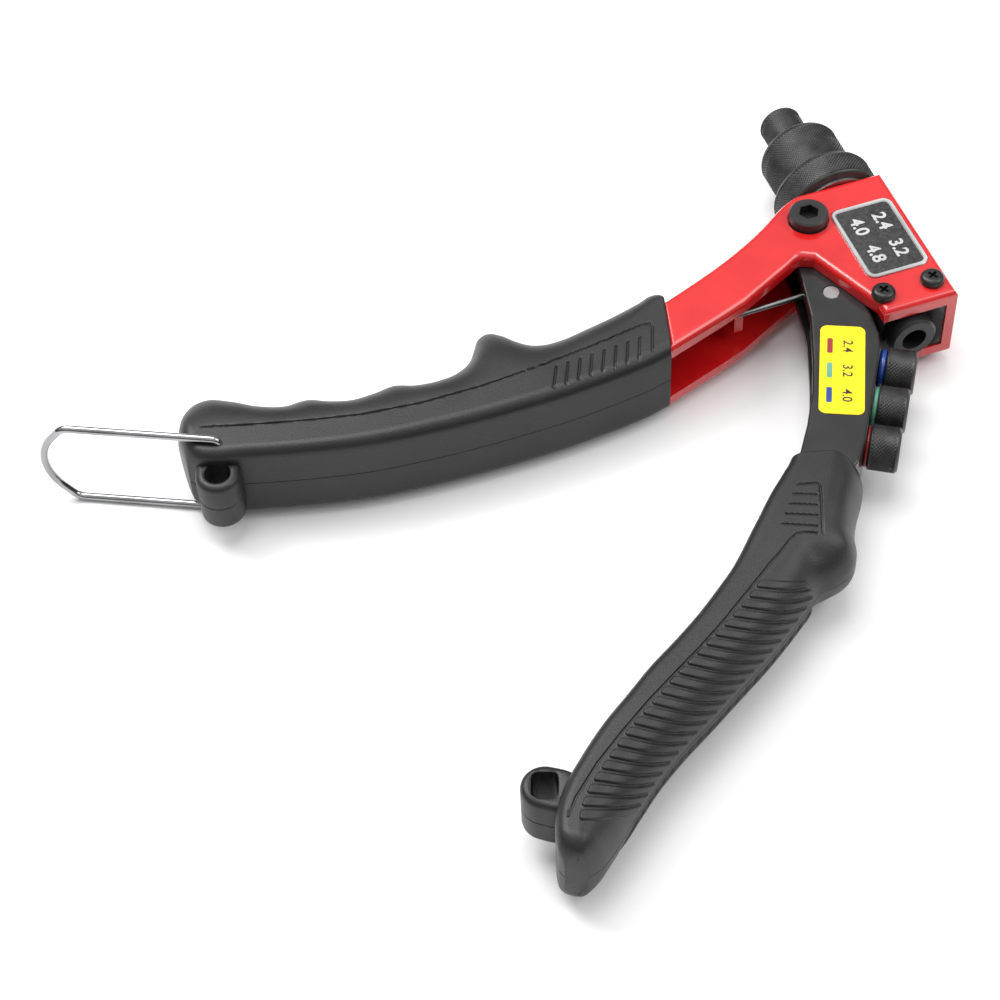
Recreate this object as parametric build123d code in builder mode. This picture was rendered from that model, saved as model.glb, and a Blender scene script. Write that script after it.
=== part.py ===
from build123d import *
from math import cos, radians, sin, tan
import os

# Long-arm hand riveter, lying on its side. Millimetres.
# Origin: centre of the fitted nosepiece's front face. +Y runs along the nose axis, out of the tip.
# +X points to the closed side of the body, +Z to the label side, Z = 0 is the middle plane.

# ---- driving dimensions -------------------------------------------------------------------
BODY_HALF = 14.5          # half thickness of the cast body
GAP_HALF = 9.3            # half of the space between the body's side plates
WALL = 3.0                # outer wall of the body and arm
FRONT_Y = -49.0           # front face of the body
FRONT_WALL = 3.6
SIDE_X = 15.4             # closed side of the body
SIDE_WALL = 3.5
REAR_Y = -109.0
TANG_HALF = 11.0          # half thickness of the arm inside its grip
TANG_GAP_HALF = 7.5

FULCRUM = (-16.6, -61.5)  # lever pivot
BOLT_R = 4.0              # M8
BOLT_HEAD_R = 6.5
BOLT_HEAD_TOP = 18.1
BOLT_HEAD_H = 5.0
BUSH_R = 5.2
RUN = 0.05                # radial running clearance

HORN_ANGLE = 9.0          # degrees, drive horn above the X axis at rest
LEVER_HALF = 9.0          # half thickness of the lever
FORK_HALF = 5.6           # half of the space between the lever's cheeks
PIN_R = 2.5
PIN_Y = FULCRUM[1] - FULCRUM[0] * tan(radians(HORN_ANGLE))
SLOT_HALF = 3.1
HORN_HALF = 5.2
SLOT_NEAR, SLOT_FAR = 16.3, 18.95

NOSE_BORE_R = 1.6
NOSE_R = 7.5
NOSE_LENGTH = 15.7
THREAD_R = 5.0
SLEEVE_R = 14.2
BARREL_R = 12.0
BARREL_BORE_R = 9.3
RING_R = 18.0
RING_FRONT, RING_REAR = -36.0, -47.8

SPRING_PIN = (-20.5, -90.0)
SPRING_PIN_R = 3.0
COIL_R = 5.8
COIL_TURNS = 4.25
WIRE_R = 0.95
LEG_R = 0.9

EXIT_R = 8.0
EXIT_BORE_R = 4.25
EXIT_REAR = -111.5

WEB_START = (-16.2, -119.0)   # outer face of the lever where the first spare nosepiece sits
EDGE_ANGLE = 31.6             # degrees, slope of the spare nosepieces' axes below the X axis
SPARE_PITCH = 16.65
SPARE_R = 7.3
SPARE_LENGTH = 9.6
SPARES = {"blue": (2.4, 1.05), "green": (1.8, 1.25), "red": (1.2, 0.85)}  # ring width, bore radius

GRIP_HALF = 15.2
EYE_HALF = 9.8            # half height of the eyes at the grips' ends
EYE_R = 7.0
EYE_BORE_R = 4.0
FIXED_EYE = (-229.4, -93.5)
LEVER_EYE = (-172.4, -235.6)

BAIL_PIVOT = (-226.3, -86.5)
BAIL_ANGLE = 154.0
BAIL_LENGTH = 50.0
BAIL_BOW = 14.0
BAIL_WIRE_R = 1.25
BAIL_HALF = 16.6
BAIL_END_DEPTH = 8.5

PLATE_BOX = (-9.2, 12.6, -94.1, -61.3)
SCREWS = [(-7.9, -101.8), (9.4, -101.6)]
SCREW_HEAD_R = 3.9

OUT_DIR = (cos(radians(EDGE_ANGLE)), -sin(radians(EDGE_ANGLE)))
WEB_DIR = (OUT_DIR[1], -OUT_DIR[0])

os.makedirs("parts", exist_ok=True)


def save(piece, name):
    """Label a finished piece and write its STEP file."""
    piece.part.label = name
    export_step(piece.part, f"parts/{name}.step")


def turned(profile):
    """A piece turned about the nose axis from (radius, y) points."""
    with BuildPart() as piece:
        with BuildSketch(Plane.XY):
            with BuildLine():
                Polyline(*profile, close=True)
            make_face()
        revolve(axis=Axis.Y)
    return piece


def on_web(step, out):
    """Point on a spare nosepiece's axis: step along the lever's edge, out from its face."""
    return (WEB_START[0] + WEB_DIR[0] * step + OUT_DIR[0] * out,
            WEB_START[1] + WEB_DIR[1] * step + OUT_DIR[1] * out)


def out_plane(step, out):
    """Plane across a spare nosepiece's axis, facing away from the lever."""
    x, y = on_web(step, out)
    return Plane(origin=(x, y, 0), x_dir=(0, 0, 1), z_dir=(OUT_DIR[0], OUT_DIR[1], 0))


# ---- cast body with the fixed arm -----------------------------------------------------------
arm_back = [(-15.5, -49), (-22, -51.8), (-30, -57.3), (-40, -63.4), (-50, -68.5), (-60, -72.8), (-76, -79)]
arm_front = [(-81.0, -99.2), (-60, -92), (-50, -88.3), (-30.5, -78.2)]
tang_back = [(-74, -80.5), (-100, -84.5), (-125, -88), (-150, -89), (-175, -88), (-208, -82)]
tang_front = [(-208, -93), (-176, -98.5), (-145, -100.3), (-113, -100), (-93, -98.2), (-80, -95)]

with BuildPart() as frame_body:
    with BuildSketch(Plane.XY.offset(-BODY_HALF)) as head_outline:
        with BuildLine():
            Spline(*arm_back)
            Polyline(arm_back[-1], arm_front[0], *arm_front[1:], (-26, -75.6), (-21.6, -78),
                     (-10.6, -104.5), (-10.6, REAR_Y), (SIDE_X, REAR_Y), (SIDE_X, FRONT_Y), arm_back[0])
        make_face()
        corners = head_outline.vertices()
        fillet(corners.sort_by_distance((-26, -75.6, -BODY_HALF))[0], radius=3)
        fillet(corners.sort_by_distance((-10.6, REAR_Y, -BODY_HALF))[0], radius=2.5)
        fillet(corners.sort_by_distance((SIDE_X, REAR_Y, -BODY_HALF))[0], radius=4.5)
        fillet(corners.sort_by_distance((SIDE_X, FRONT_Y, -BODY_HALF))[0], radius=4)
    extrude(amount=2 * BODY_HALF)
    rims = frame_body.edges().group_by(Axis.Z)
    fillet(rims[0] + rims[-1], radius=2.3)
    # arm inside the grip
    with BuildSketch(Plane.XY.offset(-TANG_HALF)):
        with BuildLine():
            Polyline(*tang_back, *tang_front, close=True)
        make_face()
    extrude(amount=2 * TANG_HALF)
    with BuildSketch(Plane.XY.offset(-TANG_GAP_HALF)):
        with BuildLine():
            Polyline(*[(x, y - WALL) for x, y in tang_back[:-1]], (-204, -85.5), (-204, -110), (-74, -110),
                     close=True)
        make_face()
    extrude(amount=2 * TANG_GAP_HALF, mode=Mode.SUBTRACT)
    # space between the side plates
    with BuildSketch(Plane.XY.offset(-GAP_HALF)):
        with BuildLine():
            Polyline((SIDE_X - SIDE_WALL, FRONT_Y - FRONT_WALL), (-15.2, FRONT_Y - FRONT_WALL),
                     (-20.6, -54.6), (-28.3, -59.9), (-38.5, -66.1), (-48.8, -71.3), (-59, -75.7), (-77.5, -83),
                     (-84, -100), (-84, -125), (SIDE_X - SIDE_WALL, -125), close=True)
        make_face()
    extrude(amount=2 * GAP_HALF, mode=Mode.SUBTRACT)
    # lug on the arm's wall that the return spring's leg bears on
    with BuildSketch(Plane.XY.offset(-FORK_HALF + 0.3)):
        with BuildLine():
            Polyline((-51.5, -70.5), (-48.5, -69), (-48.5, -83.4), (-51.5, -83.4), close=True)
        make_face()
    extrude(amount=2 * FORK_HALF - 0.6)
    # seat of the nose barrel
    with BuildSketch(Plane.XZ.offset(-FRONT_Y - 1)):
        Circle(BARREL_R)
    extrude(amount=FRONT_WALL + 2, mode=Mode.SUBTRACT)
    # pivot bolt: hole, head seat and nut seat
    with BuildSketch(Plane.XY.offset(-BODY_HALF)):
        with Locations(FULCRUM):
            Circle(BOLT_R)
    extrude(amount=2 * BODY_HALF, mode=Mode.SUBTRACT)
    with BuildSketch(Plane.XY.offset(BOLT_HEAD_TOP - BOLT_HEAD_H)):
        with Locations(FULCRUM):
            Circle(BOLT_HEAD_R + 0.5)
    extrude(amount=3, mode=Mode.SUBTRACT)
    with BuildSketch(Plane.XY.offset(-12)):
        with Locations(FULCRUM):
            Circle(8)
    extrude(amount=-4, mode=Mode.SUBTRACT)
    # seat of the label plate
    with BuildSketch(Plane.XY.offset(BODY_HALF - 0.3)):
        with Locations(((PLATE_BOX[0] + PLATE_BOX[1]) / 2, (PLATE_BOX[2] + PLATE_BOX[3]) / 2)):
            RectangleRounded(PLATE_BOX[1] - PLATE_BOX[0] + 0.8, PLATE_BOX[3] - PLATE_BOX[2] + 0.8, 3.4)
    extrude(amount=1, mode=Mode.SUBTRACT)
    # end block screws
    with BuildSketch(Plane.XY.offset(-BODY_HALF)):
        with Locations(*SCREWS):
            Circle(2.1)
    extrude(amount=2 * BODY_HALF, mode=Mode.SUBTRACT)
save(frame_body, "frame_body")

# ---- pivot bolt and nut ---------------------------------------------------------------------
with BuildPart() as pivot_bolt:
    with BuildSketch(Plane.XY.offset(-17.5)):
        with Locations(FULCRUM):
            Circle(BOLT_R)
    extrude(amount=17.5 + BOLT_HEAD_TOP - BOLT_HEAD_H)
    with BuildSketch(Plane.XY.offset(BOLT_HEAD_TOP - BOLT_HEAD_H)):
        with Locations(FULCRUM):
            Circle(BOLT_HEAD_R)
    extrude(amount=BOLT_HEAD_H)
    chamfer(pivot_bolt.faces().sort_by(Axis.Z)[-1].edges(), length=0.5)
    with BuildSketch(Plane.XY.offset(BOLT_HEAD_TOP)):
        with Locations(FULCRUM):
            RegularPolygon(radius=3.0, side_count=6, major_radius=False)
    extrude(amount=-3.2, mode=Mode.SUBTRACT)
save(pivot_bolt, "pivot_bolt")

with BuildPart() as pivot_nut:
    with BuildSketch(Plane.XY.offset(-17.5)):
        with Locations(FULCRUM):
            RegularPolygon(radius=6.5, side_count=6, major_radius=False)
            Circle(BOLT_R, mode=Mode.SUBTRACT)
    extrude(amount=5.5)
save(pivot_nut, "pivot_nut")

# ---- nose: barrel, lock ring, sleeve and fitted nosepiece -------------------------------------
barrel_rear = FRONT_Y - FRONT_WALL
save(turned([(BARREL_BORE_R, -21.5), (BARREL_R - 0.6, -21.5), (BARREL_R, -22.1), (BARREL_R, RING_REAR - 0.2),
             (15.0, RING_REAR - 0.2), (15.0, FRONT_Y), (BARREL_R, FRONT_Y), (BARREL_R, barrel_rear),
             (BARREL_BORE_R, barrel_rear)]), "nose_barrel")
save(turned([(BARREL_R + 0.08, RING_FRONT - 4.5), (SLEEVE_R + 0.4, RING_FRONT - 4.5),
             (SLEEVE_R + 0.4, RING_FRONT), (RING_R - 1.6, RING_FRONT), (RING_R - 0.5, RING_FRONT - 0.5),
             (RING_R, RING_FRONT - 1.6), (RING_R, RING_REAR + 0.6), (RING_R - 0.6, RING_REAR),
             (BARREL_R + 0.08, RING_REAR)]), "lock_ring")
save(turned([(THREAD_R, -NOSE_LENGTH), (SLEEVE_R - 1.8, -NOSE_LENGTH), (SLEEVE_R - 0.5, -NOSE_LENGTH - 0.5),
             (SLEEVE_R, -NOSE_LENGTH - 1.8), (SLEEVE_R, RING_FRONT - 4.2), (BARREL_R + 0.08, RING_FRONT - 4.2),
             (BARREL_R + 0.08, -21.0), (THREAD_R, -21.0)]), "nose_sleeve")
save(turned([(NOSE_BORE_R, 0), (NOSE_R - 0.7, 0), (NOSE_R, -0.7), (NOSE_R, -NOSE_LENGTH + 0.3),
             (NOSE_R - 0.3, -NOSE_LENGTH + 0.02), (THREAD_R - RUN, -NOSE_LENGTH + 0.02), (THREAD_R - RUN, -21.0),
             (3.2, -25.0), (NOSE_BORE_R, -25.5)]), "nosepiece")

# ---- pulling head: jaws, jaw case, pusher, spring, rod, trunnions, stem tube and exit sleeve ----
case_front, case_rear = -27.0, -44.0
cone_front, cone_rear = 4.4, 7.4
save(turned([(cone_front, case_front), (8.0, case_front), (BARREL_BORE_R - 0.1, case_front - 1.2),
             (BARREL_BORE_R - 0.1, case_rear), (cone_rear, case_rear), (cone_rear, -38.0)]), "jaw_case")

with BuildPart() as jaws:
    with BuildSketch(Plane.XY):
        with BuildLine():
            Polyline((1.5, -29.0), (cone_front + 0.35, -29.0), (cone_rear - 0.35, -37.6), (1.5, -37.6), close=True)
        make_face()
    revolve(axis=Axis.Y)
    # three saw cuts part the cone into three jaws
    for turn in (90, 210, 330):
        with BuildSketch(Plane(origin=(0, -28, 0), x_dir=(cos(radians(turn)), 0, sin(radians(turn))),
                               z_dir=(0, -1, 0))):
            with Locations((5, 0)):
                Rectangle(10, 0.7)
        extrude(amount=11, mode=Mode.SUBTRACT)
save(jaws, "jaws")

save(turned([(2.2, -38.0), (6.6, -38.0), (6.6, -39.4), (3.2, -39.4), (3.2, -46.0), (2.2, -46.0)]), "jaw_pusher")

with BuildPart() as jaw_spring:
    with BuildLine() as coil:
        Helix(pitch=2.1, height=6.2, radius=4.7, center=(0, -46.2, 0), direction=(0, 1, 0))
    with BuildSketch(Plane(origin=coil.line @ 0, z_dir=coil.line % 0)):
        Circle(0.5)
    sweep()
save(jaw_spring, "jaw_spring")

rod_front, rod_step, head_front, head_rear = -41.0, -47.5, -53.5, -65.5
with BuildPart() as pull_rod:
    with BuildSketch(Plane.XY):
        with BuildLine():
            Polyline((5.8, rod_front), (cone_rear, rod_front), (cone_rear, rod_step), (5.2, rod_step),
                     (5.2, head_front - 1), (3.4, head_front - 1), (3.4, rod_step + 0.7), (5.8, rod_step + 0.7),
                     close=True)
        make_face()
    revolve(axis=Axis.Y)
    with BuildSketch(Plane.XZ.offset(-head_front)):
        RectangleRounded(13, 10.4, 1.2)
    extrude(amount=head_front - head_rear)
    with BuildSketch(Plane.XZ.offset(-head_front - 1)):
        Circle(3.0)
    extrude(amount=head_front - head_rear + 2, mode=Mode.SUBTRACT)
    with BuildSketch(Plane.XY.offset(-5.2)):
        with Locations((0, PIN_Y)):
            Circle(PIN_R)
    extrude(amount=1.6, mode=Mode.SUBTRACT)
    with BuildSketch(Plane.XY.offset(5.2)):
        with Locations((0, PIN_Y)):
            Circle(PIN_R)
    extrude(amount=-1.6, mode=Mode.SUBTRACT)
save(pull_rod, "pull_rod")

with BuildPart() as trunnion_pins:
    for side in (-1, 1):
        with BuildSketch(Plane.XY.offset(side * 3.6)):
            with Locations((0, PIN_Y)):
                Circle(PIN_R)
        extrude(amount=side * 5.2)
save(trunnion_pins, "trunnion_pins")

save(turned([(3.4, head_rear), (5.0, head_rear), (5.0, -92.0), (3.4, -92.0)]), "stem_tube")

with BuildPart() as exit_sleeve:
    with BuildSketch(Plane.XY):
        with BuildLine():
            Polyline((5.0, -90.0), (EXIT_R, -90.0), (EXIT_R, EXIT_REAR + 0.8), (EXIT_R - 0.8, EXIT_REAR),
                     (EXIT_BORE_R, EXIT_REAR), (EXIT_BORE_R, -92.0), (5.0, -92.0), close=True)
        make_face()
    revolve(axis=Axis.Y)
    # flat along the upper side
    with BuildSketch(Plane(origin=(0, -89, 0), x_dir=(0.9, 0, -0.43), z_dir=(0, -1, 0))):
        with Locations((0, -10.9)):
            Rectangle(20, 8)
    extrude(amount=24, mode=Mode.SUBTRACT)
save(exit_sleeve, "exit_sleeve")

# ---- end block and its screws -------------------------------------------------------------------
block_front, block_rear = -94.0, REAR_Y + 0.6
with BuildPart() as end_block:
    with BuildSketch(Plane.XZ.offset(-block_front)):
        with Locations((0.85, 0)):
            Rectangle(22.0, 2 * GAP_HALF - 0.1)
    extrude(amount=block_front - block_rear)
    with BuildSketch(Plane.XY):
        with BuildLine():
            Polyline((0, -90), (EXIT_R + 0.1, -90), (EXIT_R + 0.1, block_rear + 3.2), (12.5, block_rear),
                     (12.5, -112), (0, -112), close=True)
        make_face()
    revolve(axis=Axis.Y, mode=Mode.SUBTRACT)
    for side in (-1, 1):
        with BuildSketch(Plane.XY.offset(side * GAP_HALF)):
            with Locations(*SCREWS):
                Circle(2.0)
        extrude(amount=-side * 3.2, mode=Mode.SUBTRACT)
save(end_block, "end_block")

with BuildPart() as end_screws:
    for side in (-1, 1):
        with BuildSketch(Plane.XY.offset(side * 6.3)):
            with Locations(*SCREWS):
                Circle(2.0)
        extrude(amount=side * (BODY_HALF - 6.3))
        with BuildSketch(Plane.XY.offset(side * BODY_HALF)):
            with Locations(*SCREWS):
                Circle(SCREW_HEAD_R)
        extrude(amount=side * 2.7)
    heads = end_screws.edges().filter_by(GeomType.CIRCLE).group_by(Axis.Z)
    fillet(heads[0] + heads[-1], radius=1.7)
    for side in (-1, 1):
        for spot in SCREWS:
            with BuildSketch(Plane.XY.offset(side * (BODY_HALF + 2.8))):
                with Locations(spot):
                    Rectangle(3.6, 0.9, rotation=30)
                    Rectangle(3.6, 0.9, rotation=120)
            extrude(amount=-side * 1.7, mode=Mode.SUBTRACT)
save(end_screws, "end_screws")

# ---- label plate ----------------------------------------------------------------------------------
plate_size = (PLATE_BOX[1] - PLATE_BOX[0], PLATE_BOX[3] - PLATE_BOX[2])
plate_centre = ((PLATE_BOX[0] + PLATE_BOX[1]) / 2, (PLATE_BOX[2] + PLATE_BOX[3]) / 2)
with BuildPart() as label_plate:
    with BuildSketch(Plane.XY.offset(BODY_HALF - 0.3)):
        with Locations(plate_centre):
            RectangleRounded(*plate_size, 3.0)
    extrude(amount=0.9)
    with BuildSketch(Plane.XY.offset(BODY_HALF + 0.6)):
        with Locations(plate_centre):
            RectangleRounded(plate_size[0] - 2.6, plate_size[1] - 2.6, 1.9)
    extrude(amount=-0.35, mode=Mode.SUBTRACT)
save(label_plate, "label_plate")

# ---- lever: two cheeks joined by a web along the outer edge ---------------------------------------
horn_dir = (cos(radians(HORN_ANGLE)), sin(radians(HORN_ANGLE)))


def along_horn(reach):
    """Point on the drive horn's middle line."""
    return (FULCRUM[0] + horn_dir[0] * reach, FULCRUM[1] + horn_dir[1] * reach)


BOSS_R = 7.6
lever_inner = [(-24.3, -62.5), (-27.3, -81), (-31, -97), (-38, -115), (-43.5, -127), (-50.5, -139),
               (-58, -150), (-66, -160.5)]
lever_tang = [(-74.7, -169.2), (-98.7, -192.7), (-128.9, -212.8), (-152, -229), (-144.5, -237.5),
              (-121.7, -221.2), (-91.5, -201), (-67.5, -177.6), (-52, -166.5)]
lever_outer = [on_web(47, -1), on_web(38, 0), on_web(-1, 0), (-13.4, -112), (-12.2, -104), (-12, -92),
               (-10.5, -79), (-2, -67)]

with BuildPart() as lever:
    with BuildSketch(Plane.XY.offset(-LEVER_HALF)):
        with BuildLine():
            Polyline(*lever_inner, *lever_tang, *lever_outer, along_horn(19), FULCRUM, close=True)
        make_face()
        with Locations(FULCRUM):
            Circle(BOSS_R)
        with Locations(along_horn((SLOT_NEAR + SLOT_FAR) / 2)):
            SlotCenterToCenter(SLOT_FAR - SLOT_NEAR, 2 * HORN_HALF, rotation=HORN_ANGLE)
        with BuildLine():
            Polyline((-15, FULCRUM[1] + 7), (1.5, PIN_Y + 5.0), (4, PIN_Y - 4), (-2, -67), (-12, -72), close=True)
        make_face()
    extrude(amount=2 * LEVER_HALF)
    rims = lever.edges().group_by(Axis.Z)
    fillet(rims[0] + rims[-1], radius=1.0)
    # space between the cheeks, closed by the web from the second bend down
    with BuildSketch(Plane.XY.offset(-FORK_HALF)):
        with BuildLine():
            Polyline((-70, -40), (30, -40), (30, -99), (-16.6, -99), (-17.2, -112), on_web(-1, -4), on_web(38, -4),
                     (-48.5, -163), (-65, -157), (-90, -150), close=True)
        make_face()
    extrude(amount=2 * FORK_HALF, mode=Mode.SUBTRACT)
    with BuildSketch(Plane.XY.offset(-LEVER_HALF)):
        with Locations(FULCRUM):
            Circle(BUSH_R)
        with Locations(along_horn((SLOT_NEAR + SLOT_FAR) / 2)):
            SlotCenterToCenter(SLOT_FAR - SLOT_NEAR, 2 * SLOT_HALF, rotation=HORN_ANGLE)
        with Locations(SPRING_PIN):
            Circle(SPRING_PIN_R)
    extrude(amount=2 * LEVER_HALF, mode=Mode.SUBTRACT)
    for place in range(len(SPARES)):
        with BuildSketch(out_plane(place * SPARE_PITCH, 2)):
            Circle(THREAD_R + RUN)
        extrude(amount=-8, mode=Mode.SUBTRACT)
save(lever, "lever")

with BuildPart() as fulcrum_bush:
    with BuildSketch(Plane.XY.offset(-LEVER_HALF)):
        with Locations(FULCRUM):
            Circle(BUSH_R)
            Circle(BOLT_R + RUN, mode=Mode.SUBTRACT)
    extrude(amount=2 * LEVER_HALF)
save(fulcrum_bush, "fulcrum_bush")

with BuildPart() as spring_pin:
    with BuildSketch(Plane.XY.offset(-LEVER_HALF)):
        with Locations(SPRING_PIN):
            Circle(SPRING_PIN_R)
    extrude(amount=2 * LEVER_HALF)
    chamfer(spring_pin.edges().filter_by(GeomType.CIRCLE), length=0.4)
save(spring_pin, "spring_pin")

# torsion spring on its pin: a long leg to the lug on the arm, a short leg to the lever's web
coil_low, coil_top = -4.5, 4.5
with BuildPart() as return_spring:
    with BuildLine() as coil:
        Helix(pitch=(coil_top - coil_low) / COIL_TURNS, height=coil_top - coil_low, radius=COIL_R,
              center=(*SPRING_PIN, coil_low))
    with BuildSketch(Plane(origin=coil.line @ 0, z_dir=coil.line % 0)):
        Circle(WIRE_R)
    sweep()
    long_leg = Plane(origin=(SPRING_PIN[0] + 1, SPRING_PIN[1] + COIL_R, coil_top), z_dir=(-1, -0.02, 0))
    with BuildSketch(long_leg):
        Circle(LEG_R)
    extrude(amount=32)
    short_leg = Plane(origin=(SPRING_PIN[0] + COIL_R, SPRING_PIN[1] + 1, coil_low), z_dir=(0, -1, 0))
    with BuildSketch(short_leg):
        Circle(LEG_R)
    extrude(amount=9)
save(return_spring, "return_spring")

sticker_along = (-0.42, -0.907)
with BuildPart() as lever_sticker:
    with BuildSketch(Plane(origin=(-31.2, -122.4, LEVER_HALF), x_dir=(*sticker_along, 0), z_dir=(0, 0, 1))):
        RectangleRounded(37.6, 14.4, 2.4)
    extrude(amount=0.25)
save(lever_sticker, "lever_sticker")

# ---- spare nosepieces with their colour rings -------------------------------------------------------
for place, (colour, (ring_width, bore_r)) in enumerate(SPARES.items()):
    step = place * SPARE_PITCH
    with BuildPart() as spare:
        with BuildSketch(out_plane(step, ring_width)):
            Circle(SPARE_R)
        extrude(amount=SPARE_LENGTH)
        chamfer(spare.edges().filter_by(GeomType.CIRCLE), length=0.6)
        with BuildSketch(out_plane(step, -5)):
            Circle(THREAD_R)
        extrude(amount=ring_width + 5)
        with BuildSketch(out_plane(step, -5.5)):
            Circle(bore_r)
        extrude(amount=SPARE_LENGTH + ring_width + 6, mode=Mode.SUBTRACT)
    save(spare, f"spare_nosepiece_{colour}")
    with BuildPart() as colour_ring:
        with BuildSketch(out_plane(step, 0.05)):
            Circle(SPARE_R - 0.7)
            Circle(THREAD_R, mode=Mode.SUBTRACT)
        extrude(amount=ring_width - 0.05)
        if ring_width > 1.5:
            rim = colour_ring.edges().filter_by(GeomType.CIRCLE).group_by(SortBy.RADIUS)[-1]
            fillet(rim, radius=0.45 * ring_width)
    save(colour_ring, f"colour_ring_{colour}")

# ---- grips, each in two half shells that meet at the middle plane -----------------------------------
fixed_finger_side = [(-74, -67.5), (-85, -69.8), (-100, -73.6), (-110, -75.6), (-118, -75.4), (-124, -72.4),
                     (-128.4, -67.0), (-133, -62.6), (-138, -64.2), (-140.9, -69.6), (-145.6, -75.6), (-152, -78.4), (-161, -77.3), (-167, -75), (-174, -76.2),
                     (-181, -76.6), (-188, -74), (-194, -71), (-203, -71), (-214, -65.5), (-225, -58.5),
                     (-233, -62.5), (-236.8, -73), (-237.6, -84.5)]
fixed_palm_side = [(-229, -88.8), (-222, -91.6), (-210, -95.8), (-197, -99.2), (-176, -103), (-145, -104.9),
                   (-113.6, -104.4), (-93, -102.3), (-81.5, -99.9)]

lever_palm_side = [(-64.3, -154.6), (-77, -166.5), (-91, -181.5), (-101, -190), (-111, -197.5), (-121, -204),
                   (-131, -210), (-141, -217), (-151, -224), (-161, -232.5), (-169.5, -241.5), (-175.6, -251),
                   (-175.6, -258.5), (-169.5, -262.3), (-161.5, -257.5)]
lever_ribbed_side = [(-161.5, -257.5), (-145.5, -244), (-125.5, -230), (-105.5, -218.5), (-85.5, -205),
                     (-75.5, -197), (-68, -193.2), (-60, -191.8), (-55.8, -186), (-51, -176.5), (-44.5, -167)]


def half_grip(side, outline_runs, tang, tang_half, eye_centre, square_eye):
    """One half shell of a grip on the side +1 or -1 of the middle plane."""
    with BuildPart() as shell:
        with BuildSketch(Plane.XY) as outline:
            with BuildLine():
                for run in outline_runs:
                    if len(run) > 2:
                        Spline(*run)
                    else:
                        Line(*run)
            make_face()
            fillet(outline.vertices(), radius=3.0)
        extrude(amount=side * GRIP_HALF)
        outer_face = shell.faces().sort_by(Axis.Z)[-1 if side > 0 else 0]
        fillet(outer_face.edges(), radius=2.5)
        with BuildSketch(Plane.XY):
            with Locations(eye_centre):
                if square_eye:
                    RectangleRounded(15.6, 16.4, 6.5, rotation=-20)
                else:
                    Circle(EYE_R)
        extrude(amount=side * EYE_HALF)
        with BuildSketch(Plane.XY):
            with Locations(eye_centre):
                if square_eye:
                    RectangleRounded(7.6, 8.4, 2.2, rotation=-20)
                else:
                    Circle(EYE_BORE_R)
        extrude(amount=side * (GRIP_HALF + 1), mode=Mode.SUBTRACT)
        with BuildSketch(Plane.XY):
            with BuildLine():
                Polyline(*tang, close=True)
            make_face()
        extrude(amount=side * tang_half, mode=Mode.SUBTRACT)
        if not square_eye:
            with BuildSketch(Plane.XY.offset(side * (GRIP_HALF - BAIL_END_DEPTH))):
                with Locations(BAIL_PIVOT):
                    Circle(BAIL_WIRE_R + RUN)
            extrude(amount=side * (BAIL_END_DEPTH + 1), mode=Mode.SUBTRACT)
    return shell


fixed_runs = [fixed_finger_side, [fixed_finger_side[-1], fixed_palm_side[0]], fixed_palm_side,
              [fixed_palm_side[-1], fixed_finger_side[0]]]
lever_runs = [lever_palm_side + lever_ribbed_side[1:], [lever_ribbed_side[-1], lever_palm_side[0]]]
lever_in_grip = [(-58, -150), (-66, -160.5)] + lever_tang + [on_web(47, -1), on_web(38, 0)]
tang_in_grip = tang_back + tang_front
for side, name in ((1, "upper"), (-1, "lower")):
    save(half_grip(side, fixed_runs, tang_in_grip, TANG_HALF, FIXED_EYE, False), f"fixed_grip_{name}")
    save(half_grip(side, lever_runs, lever_in_grip, LEVER_HALF, LEVER_EYE, True), f"lever_grip_{name}")

# ---- locking bail: one bent wire, its ends turned into the fixed grip ---------------------------------
bail_plane = Plane(origin=(*BAIL_PIVOT, 0), x_dir=(cos(radians(BAIL_ANGLE)), sin(radians(BAIL_ANGLE)), 0),
                   z_dir=(sin(radians(BAIL_ANGLE)), -cos(radians(BAIL_ANGLE)), 0))
bail_end = GRIP_HALF - BAIL_END_DEPTH + 0.4
with BuildPart() as bail:
    with BuildLine(bail_plane) as wire:
        FilletPolyline((0, bail_end), (0, BAIL_HALF), (BAIL_LENGTH, BAIL_HALF), (BAIL_LENGTH + BAIL_BOW, 0),
                       (BAIL_LENGTH, -BAIL_HALF), (0, -BAIL_HALF), (0, -bail_end), radius=[2.2, 5, 18.5, 5, 2.2])
    with BuildSketch(Plane(origin=wire.line @ 0, z_dir=wire.line % 0)):
        Circle(BAIL_WIRE_R)
    sweep()
save(bail, "bail")
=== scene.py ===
from math import ceil, cos, pi, radians, sin, sqrt, tau

import bmesh
import bpy
import numpy as np
from mathutils import Matrix, Vector


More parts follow.
